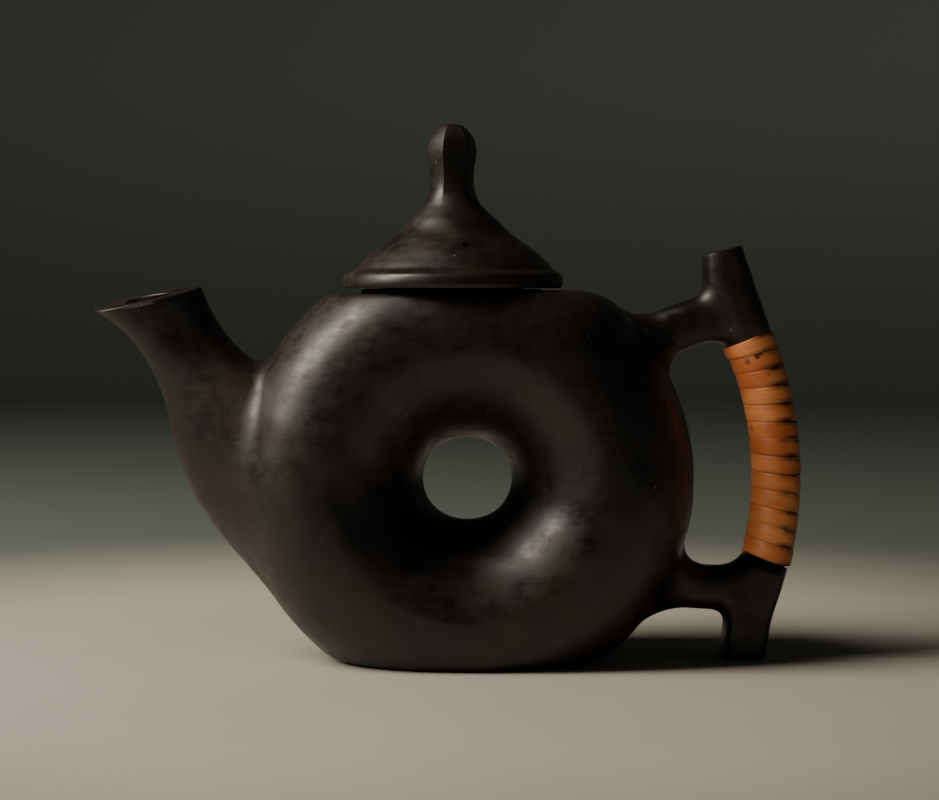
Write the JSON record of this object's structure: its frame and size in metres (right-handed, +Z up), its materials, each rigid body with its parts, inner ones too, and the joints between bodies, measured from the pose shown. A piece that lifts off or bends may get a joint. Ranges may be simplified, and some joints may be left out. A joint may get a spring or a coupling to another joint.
{
  "type": "ring teapot",
  "caption": "Black clay teapot with an upright hollow ring body, slanted spout, ogee lid with peg knob, and ear handle wound with split cane.",
  "frame": {"origin": "centre of the flat base, on the resting face, under the axis of the ring", "axes": "+X towards the handle, -X towards the spout, +Y towards the back face of the ring, +Z up along the lid's axis"},
  "size_m": [0.2611, 0.0814, 0.1972],
  "materials": {
    "burnished_clay": "black-fired clay, hand burnished, satin",
    "split_cane": "varnished split cane"
  },
  "bodies": {
    "pot": {"body_front_shell": "burnished_clay", "body_back_shell": "burnished_clay", "base_slab": "burnished_clay", "lid_seat": "burnished_clay", "spout": "burnished_clay", "upper_handle_arm": "burnished_clay", "lower_handle_arm": "burnished_clay", "grip_core": "burnished_clay", "cane_wrap": "split_cane"},
    "lid": {"lid_dome": "burnished_clay", "lid_flange": "burnished_clay", "lid_knob": "burnished_clay"}
  },
  "joints": [
    {"name": "lid_lift", "type": "slide", "parent": "pot", "child": "lid", "axis": [0, 0, 1], "range_m": [0, 0.06]}
  ]
}
